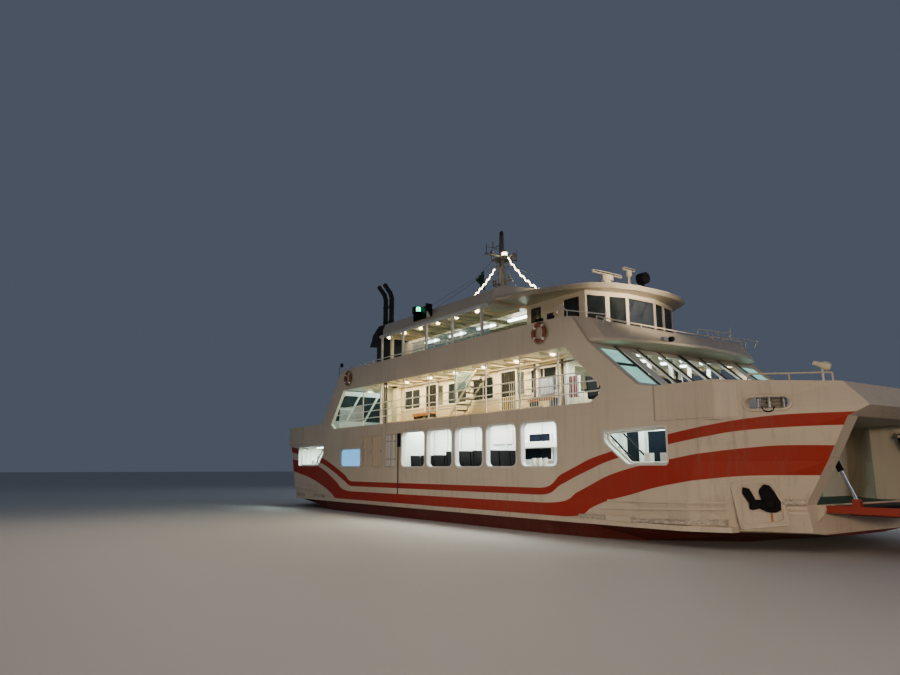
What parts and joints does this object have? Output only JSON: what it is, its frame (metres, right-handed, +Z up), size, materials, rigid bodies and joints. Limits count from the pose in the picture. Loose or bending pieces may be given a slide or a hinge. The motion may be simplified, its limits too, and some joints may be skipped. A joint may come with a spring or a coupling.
{
  "type": "double-ended passenger and vehicle ferry",
  "caption": "Double-ended passenger ferry afloat, with a through vehicle deck, ramps at both ends, a glazed saloon, a covered sun deck and a raised wheelhouse.",
  "frame": {"origin": "on the centreline, amidships, at the waterline", "axes": "+X forward, +Y to port, +Z up"},
  "size_m": [36.1, 9.38, 15.45],
  "materials": {
    "white_paint": "satin",
    "hull_paint": "satin",
    "deck_paint": "matt",
    "mast_paint": "satin",
    "rail_paint": "satin",
    "exhaust_paint": "matt",
    "cylinder_paint": "satin",
    "chromed_rod": "polished",
    "ramp_paint": "matt",
    "bronze": "polished",
    "radar_paint": "gloss",
    "anchor_paint": "matt"
  },
  "bodies": {
    "ship": {"aft_window_wall": "white_paint", "aft_wing_port": "white_paint", "aft_wing_stbd": "white_paint", "afterdeck": "white_paint", "anchor_port": "anchor_paint", "anchor_stbd": "anchor_paint", "bow_quarter_port": "white_paint", "bow_quarter_stbd": "white_paint", "brow": "white_paint", "canopy": "white_paint", "canopy_posts_port": "rail_paint", "canopy_posts_stbd": "rail_paint", "exhaust_stbd": "exhaust_paint", "fore_window_wall": "white_paint", "fore_wing_port": "white_paint", "fore_wing_stbd": "white_paint", "foredeck": "white_paint", "hull": "hull_paint", "lane_wall_port": "white_paint", "lane_wall_stbd": "white_paint", "mast": "mast_paint", "promenade_rails_port": "rail_paint", "promenade_rails_stbd": "rail_paint", "saloon": "white_paint", "saloon_deck": "deck_paint", "searchlight": "exhaust_paint", "side_wall_port": "white_paint", "side_wall_stbd": "white_paint", "sidelight_port": "exhaust_paint", "sidelight_stbd": "exhaust_paint", "stern_quarter_port": "white_paint", "stern_quarter_stbd": "white_paint", "sun_band_port": "white_paint", "sun_band_stbd": "white_paint", "sun_deck": "deck_paint", "wheelhouse": "white_paint", "wheelhouse_roof": "white_paint"},
    "bow_ramp": {"bow_ramp": "ramp_paint"},
    "bow_cylinder_stbd": {"bow_cylinder_stbd": "cylinder_paint"},
    "bow_rod_stbd": {"bow_rod_stbd": "chromed_rod"},
    "bow_cylinder_port": {"bow_cylinder_port": "cylinder_paint"},
    "bow_rod_port": {"bow_rod_port": "chromed_rod"},
    "stern_ramp": {"stern_ramp": "ramp_paint"},
    "stern_cylinder_stbd": {"stern_cylinder_stbd": "cylinder_paint"},
    "stern_rod_stbd": {"stern_rod_stbd": "chromed_rod"},
    "stern_cylinder_port": {"stern_cylinder_port": "cylinder_paint"},
    "stern_rod_port": {"stern_rod_port": "chromed_rod"},
    "propeller_bow": {"propeller_bow": "bronze"},
    "rudder_bow": {"rudder_bow": "hull_paint"},
    "propeller_stern": {"propeller_stern": "bronze"},
    "rudder_stern": {"rudder_stern": "hull_paint"},
    "radar_large": {"radar_large": "radar_paint"},
    "radar_small": {"radar_small": "radar_paint"},
    "wheelhouse_door_stbd": {"wheelhouse_door_stbd": "white_paint"},
    "wheelhouse_door_port": {"wheelhouse_door_port": "white_paint"}
  },
  "joints": [
    {"name": "bow_ramp_hinge", "type": "hinge", "parent": "ship", "child": "bow_ramp", "pos_m": [15.9, 0, 1.09], "axis": [0, -1, 0], "range_deg": [-8, 56]},
    {"name": "bow_cylinder_stbd_pivot", "type": "hinge", "parent": "ship", "child": "bow_cylinder_stbd", "pos_m": [15.95, -2.25, 3.05], "axis": [0, -1, 0], "range_deg": [-12.91, 2.02]},
    {"name": "bow_rod_stbd_slide", "type": "slide", "parent": "bow_cylinder_stbd", "child": "bow_rod_stbd", "axis": [0.3949, 0, -0.9187], "range_m": [-0.7046, 0.1024]},
    {"name": "bow_cylinder_port_pivot", "type": "hinge", "parent": "ship", "child": "bow_cylinder_port", "pos_m": [15.95, 2.25, 3.05], "axis": [0, -1, 0], "range_deg": [-12.91, 2.02]},
    {"name": "bow_rod_port_slide", "type": "slide", "parent": "bow_cylinder_port", "child": "bow_rod_port", "axis": [0.3949, 0, -0.9187], "range_m": [-0.7046, 0.1024]},
    {"name": "stern_ramp_hinge", "type": "hinge", "parent": "ship", "child": "stern_ramp", "pos_m": [-15.9, 0, 1.09], "axis": [0, 1, 0], "range_deg": [-64, 0]},
    {"name": "stern_cylinder_stbd_pivot", "type": "hinge", "parent": "ship", "child": "stern_cylinder_stbd", "pos_m": [-15.95, -2.25, 3.05], "axis": [0, 1, 0], "range_deg": [-0.2, 14.72]},
    {"name": "stern_rod_stbd_slide", "type": "slide", "parent": "stern_cylinder_stbd", "child": "stern_rod_stbd", "axis": [-0.1831, 0, -0.9831], "range_m": [-0.002, 0.8049]},
    {"name": "stern_cylinder_port_pivot", "type": "hinge", "parent": "ship", "child": "stern_cylinder_port", "pos_m": [-15.95, 2.25, 3.05], "axis": [0, 1, 0], "range_deg": [-0.2, 14.72]},
    {"name": "stern_rod_port_slide", "type": "slide", "parent": "stern_cylinder_port", "child": "stern_rod_port", "axis": [-0.1831, 0, -0.9831], "range_m": [-0.002, 0.8049]},
    {"name": "propeller_bow_spin", "type": "hinge", "parent": "ship", "child": "propeller_bow", "pos_m": [11.1, 0, -1.13], "axis": [1, 0, 0], "continuous": true},
    {"name": "rudder_bow_steer", "type": "hinge", "parent": "ship", "child": "rudder_bow", "pos_m": [12.55, 0, -0.5], "axis": [0, 0, 1], "range_deg": [-35, 35]},
    {"name": "propeller_stern_spin", "type": "hinge", "parent": "ship", "child": "propeller_stern", "pos_m": [-11.1, 0, -1.13], "axis": [-1, 0, 0], "continuous": true},
    {"name": "rudder_stern_steer", "type": "hinge", "parent": "ship", "child": "rudder_stern", "pos_m": [-12.55, 0, -0.5], "axis": [0, 0, 1], "range_deg": [-35, 35]},
    {"name": "radar_large_spin", "type": "hinge", "parent": "ship", "child": "radar_large", "pos_m": [7.6, -0.9, 9.5], "axis": [0, 0, 1], "continuous": true},
    {"name": "radar_small_spin", "type": "hinge", "parent": "ship", "child": "radar_small", "pos_m": [7.4, 0.6, 9.5], "axis": [0, 0, 1], "continuous": true},
    {"name": "wheelhouse_door_stbd_hinge", "type": "hinge", "parent": "ship", "child": "wheelhouse_door_stbd", "pos_m": [6.48, -2.5216, 7.3], "axis": [0, 0, 1], "range_deg": [0, 90]},
    {"name": "wheelhouse_door_port_hinge", "type": "hinge", "parent": "ship", "child": "wheelhouse_door_port", "pos_m": [6.48, 2.5216, 7.3], "axis": [0, 0, -1], "range_deg": [0, 90]}
  ],
  "couplings": [
    {"joint": "bow_cylinder_stbd_pivot", "follows": "bow_ramp_hinge", "ratio": -0.22694},
    {"joint": "bow_rod_stbd_slide", "follows": "bow_ramp_hinge", "m_per_rad": -0.71883},
    {"joint": "bow_cylinder_port_pivot", "follows": "bow_ramp_hinge", "ratio": -0.22694},
    {"joint": "bow_rod_port_slide", "follows": "bow_ramp_hinge", "m_per_rad": -0.71883},
    {"joint": "stern_cylinder_stbd_pivot", "follows": "stern_ramp_hinge", "ratio": -0.22694},
    {"joint": "stern_rod_stbd_slide", "follows": "stern_ramp_hinge", "m_per_rad": -0.71883},
    {"joint": "stern_cylinder_port_pivot", "follows": "stern_ramp_hinge", "ratio": -0.22694},
    {"joint": "stern_rod_port_slide", "follows": "stern_ramp_hinge", "m_per_rad": -0.71883}
  ]
}
